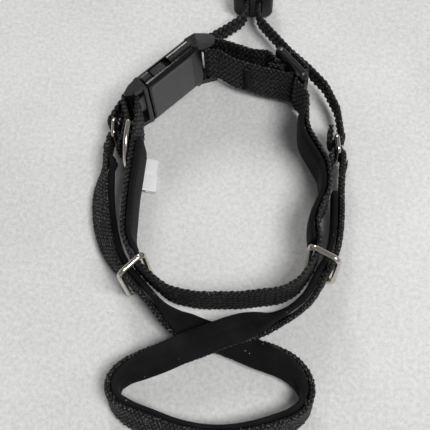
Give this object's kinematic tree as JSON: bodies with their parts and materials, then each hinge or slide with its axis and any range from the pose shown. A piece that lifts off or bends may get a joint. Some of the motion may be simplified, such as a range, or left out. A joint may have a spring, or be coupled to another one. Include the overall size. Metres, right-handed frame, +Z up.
{
  "type": "head halter",
  "caption": "Figure-eight dog head halter: padded collar loop with side-release buckle and slide adjuster, crossed nose strap, thin control straps to a lead ring.",
  "frame": {"origin": "centre of the footprint, on the table that the halter lies on", "axes": "+Z up off the table, +Y from the nose loop to the lead ring, +X to the side of the tri-glide, so the buckle is on -X"},
  "size_m": [0.094, 0.2136, 0.026],
  "materials": {
    "webbing": "matte woven nylon with light flecks",
    "lining": "smooth charcoal neoprene-like padding",
    "buckle_plastic": "glossy edges, satin faces",
    "glide_plastic": "satin",
    "nickel": "bright nickel plate",
    "label_cloth": "white satin ribbon, blank",
    "thread": "bonded sewing thread"
  },
  "bodies": {
    "halter": {"back_webbing": "webbing", "collar_webbing": "webbing", "left_webbing": "webbing", "nose_webbing": "webbing", "right_lining": "lining", "left_lining": "lining", "nose_lining": "lining", "left_control_webbing": "webbing", "right_control_webbing": "webbing", "lead_fold_webbing": "webbing", "buckle_plug": "buckle_plastic", "care_label": "label_cloth", "plug_bar_tack": "thread", "glide_bar_tack": "thread", "left_nose_tack": "thread", "right_nose_tack": "thread", "left_control_tack": "thread", "right_control_tack": "thread", "lead_tack": "thread"},
    "socket": {"buckle_socket": "buckle_plastic"},
    "arm_upper": {"latch_arm_upper": "buckle_plastic"},
    "arm_lower": {"latch_arm_lower": "buckle_plastic"},
    "glide": {"tri_glide": "glide_plastic"},
    "left_loop": {"left_loop": "nickel"},
    "right_loop": {"right_loop": "nickel"},
    "left_ring": {"left_end_ring": "nickel"},
    "right_ring": {"right_end_ring": "nickel"},
    "d_ring": {"d_ring": "nickel"},
    "lead_ring": {"lead_ring": "nickel"},
    "keeper": {"lead_keeper": "glide_plastic"}
  },
  "joints": [
    {"name": "buckle_release", "type": "slide", "parent": "halter", "child": "socket", "axis": [0.6613, 0.7501, 0], "range_m": [0, 0.0205], "deforming": ["back_webbing", "glide_bar_tack", "latch_arm_upper", "latch_arm_lower"]},
    {"name": "latch_upper_squeeze", "type": "hinge", "parent": "halter", "child": "arm_upper", "pos_m": [-0.03002, 0.0194, 0.0199], "axis": [-0.7501, 0.6613, 0], "range_deg": [0, 12], "stiffness_Nm_per_rad": 0.24},
    {"name": "latch_lower_squeeze", "type": "hinge", "parent": "halter", "child": "arm_lower", "pos_m": [-0.03002, 0.0194, 0.0061], "axis": [0.7501, -0.6613, 0], "range_deg": [0, 12], "stiffness_Nm_per_rad": 0.24},
    {"name": "tri_glide_slide", "type": "slide", "parent": "halter", "child": "glide", "axis": [0.682, -0.7314, 0], "range_m": [-0.003, 0.003], "deforming": ["back_webbing", "glide_bar_tack"]},
    {"name": "left_loop_slide", "type": "slide", "parent": "halter", "child": "left_loop", "axis": [-0.7604, 0.6494, 0], "range_m": [-0.003, 0.003]},
    {"name": "right_loop_slide", "type": "slide", "parent": "halter", "child": "right_loop", "axis": [0.4226, 0.9063, 0], "range_m": [-0.003, 0.003]},
    {"name": "left_ring_swing", "type": "hinge", "parent": "halter", "child": "left_ring", "pos_m": [-0.04029, 0.00243, 0.0075], "axis": [0, 0, 1], "range_deg": [-12, 12], "deforming": ["left_control_webbing", "left_control_tack"]},
    {"name": "right_ring_swing", "type": "hinge", "parent": "halter", "child": "right_ring", "pos_m": [0.04306, 0.00243, 0.0075], "axis": [0, 0, 1], "range_deg": [-12, 12], "deforming": ["right_control_webbing", "right_control_tack"]},
    {"name": "d_ring_swing", "type": "hinge", "parent": "halter", "child": "d_ring", "pos_m": [-0.03287, 0.00233, 0.013], "axis": [0, 0, -1], "range_deg": [0, 15]},
    {"name": "lead_ring_turn", "type": "hinge", "parent": "halter", "child": "lead_ring", "pos_m": [0.00598, 0.09783, 0.009], "axis": [1, 0, 0], "continuous": true},
    {"name": "keeper_slide", "type": "slide", "parent": "halter", "child": "keeper", "axis": [0, 1, 0], "range_m": [-0.0015, 0.005]}
  ],
  "couplings": [
    {"joint": "latch_lower_squeeze", "follows": "latch_upper_squeeze", "ratio": 1}
  ]
}
